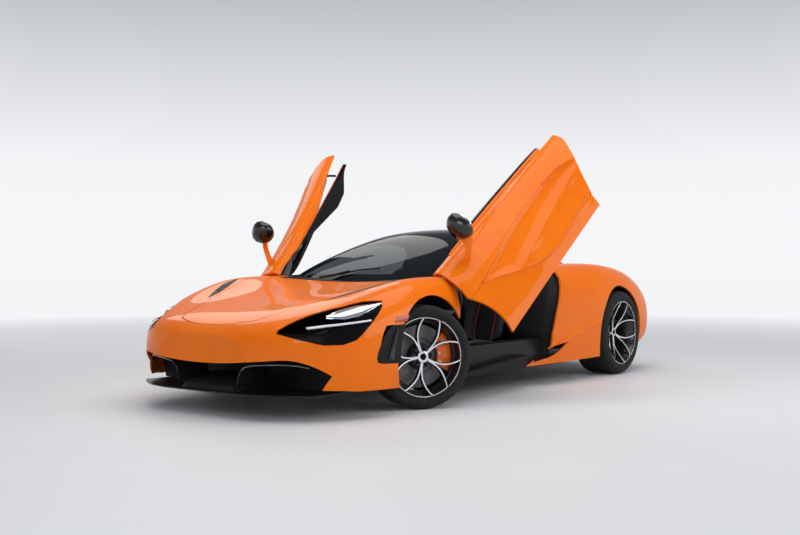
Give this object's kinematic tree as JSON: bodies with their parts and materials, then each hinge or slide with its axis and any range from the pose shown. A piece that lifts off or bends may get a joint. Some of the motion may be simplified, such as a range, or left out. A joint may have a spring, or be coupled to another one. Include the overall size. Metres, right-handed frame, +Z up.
{
  "type": "mid-engined two-seat supercar",
  "caption": "Low mid-engined two-seat supercar with both upward-swinging doors open, opening bonnet, steered front wheels and rolling wheels.",
  "frame": {"origin": "on the ground under the middle of the whole car's box", "axes": "+Z up, +Y towards the car's rear, +X to the car's left"},
  "size_m": [2.894, 4.5419, 1.8961],
  "materials": {
    "body_paint": "bright orange gloss paint",
    "gloss_black": "gloss black",
    "black_trim": "satin black moulded plastic",
    "carbon": "lacquered woven carbon",
    "glass": "tinted glass",
    "alloy": "cast and forged alloy",
    "wheel_alloy": "machined face, black sides",
    "tyre": "black rubber",
    "iron": "ground brake disc",
    "cast_metal": "cast engine block",
    "steel": "polished pipe",
    "lamp_clear": "clear lens",
    "lamp_red": "red lens",
    "leather": "dark leather and suede"
  },
  "bodies": {
    "root": {"front_bumper": "body_paint", "headlamp_bowls": "gloss_black", "front_fenders": "body_paint", "rear_quarters": "body_paint", "roof_frame": "gloss_black", "windscreen": "glass", "rear_glass": "glass", "cowl": "black_trim", "rear_deck": "body_paint", "rear_wing": "body_paint", "rear_bumper": "body_paint", "rear_uprights": "alloy", "front_wishbones": "alloy", "rear_wishbones": "alloy", "arch_liners": "black_trim", "tub": "carbon", "sill_covers": "black_trim", "underfloor": "black_trim", "front_splitter": "carbon", "intake_panel": "black_trim", "lamp_units": "lamp_clear", "corner_vents": "carbon", "diffuser": "carbon", "rear_grille": "black_trim", "exhausts": "steel", "tail_lamps": "lamp_red", "rear_subframe": "alloy", "engine": "cast_metal", "seats": "leather", "dashboard": "leather", "steering_wheel": "leather", "luggage_bay": "black_trim"},
    "door_left": {"door_left": "body_paint", "door_glass_left": "glass", "mirror_left": "gloss_black"},
    "steer_left": {"knuckle_left": "alloy"},
    "wheel_front_left": {"tyre_front_left": "tyre", "rim_front_left": "wheel_alloy", "disc_front_left": "iron"},
    "wheel_rear_left": {"tyre_rear_left": "tyre", "rim_rear_left": "wheel_alloy", "disc_rear_left": "iron"},
    "door_right": {"door_right": "body_paint", "door_glass_right": "glass", "mirror_right": "gloss_black"},
    "steer_right": {"knuckle_right": "alloy"},
    "wheel_front_right": {"tyre_front_right": "tyre", "rim_front_right": "wheel_alloy", "disc_front_right": "iron"},
    "wheel_rear_right": {"tyre_rear_right": "tyre", "rim_rear_right": "wheel_alloy", "disc_rear_right": "iron"},
    "bonnet": {"bonnet": "body_paint"}
  },
  "joints": [
    {"name": "door_left", "type": "hinge", "parent": "root", "child": "door_left", "pos_m": [0.625, -0.778, 0.837], "axis": [-0.6633, 0.5626, 0.4934], "range_deg": [0, 55.1]},
    {"name": "door_right", "type": "hinge", "parent": "root", "child": "door_right", "pos_m": [-0.625, -0.778, 0.837], "axis": [-0.6633, -0.5626, -0.4934], "range_deg": [0, 55.1]},
    {"name": "bonnet_hinge", "type": "hinge", "parent": "root", "child": "bonnet", "pos_m": [0, -0.953, 0.786], "axis": [-1, 0, 0], "range_deg": [0, 60]},
    {"name": "steer_left", "type": "hinge", "parent": "root", "child": "steer_left", "pos_m": [0.795, -1.178, 0.327], "axis": [0, 0, 1], "range_deg": [-3, 61]},
    {"name": "steer_right", "type": "hinge", "parent": "root", "child": "steer_right", "pos_m": [-0.795, -1.178, 0.327], "axis": [0, 0, 1], "range_deg": [-3, 61]},
    {"name": "spin_front_left", "type": "hinge", "parent": "steer_left", "child": "wheel_front_left", "pos_m": [0.83173, -1.19836, 0.327], "axis": [0.8746, -0.4848, 0], "continuous": true},
    {"name": "spin_rear_left", "type": "hinge", "parent": "root", "child": "wheel_rear_left", "pos_m": [0.8145, 1.492, 0.3455], "axis": [1, 0, 0], "continuous": true},
    {"name": "spin_front_right", "type": "hinge", "parent": "steer_right", "child": "wheel_front_right", "pos_m": [-0.83173, -1.15764, 0.327], "axis": [0.8746, -0.4848, 0], "continuous": true},
    {"name": "spin_rear_right", "type": "hinge", "parent": "root", "child": "wheel_rear_right", "pos_m": [-0.8145, 1.492, 0.3455], "axis": [1, 0, 0], "continuous": true}
  ],
  "couplings": [
    {"joint": "steer_right", "follows": "steer_left", "ratio": 1}
  ]
}
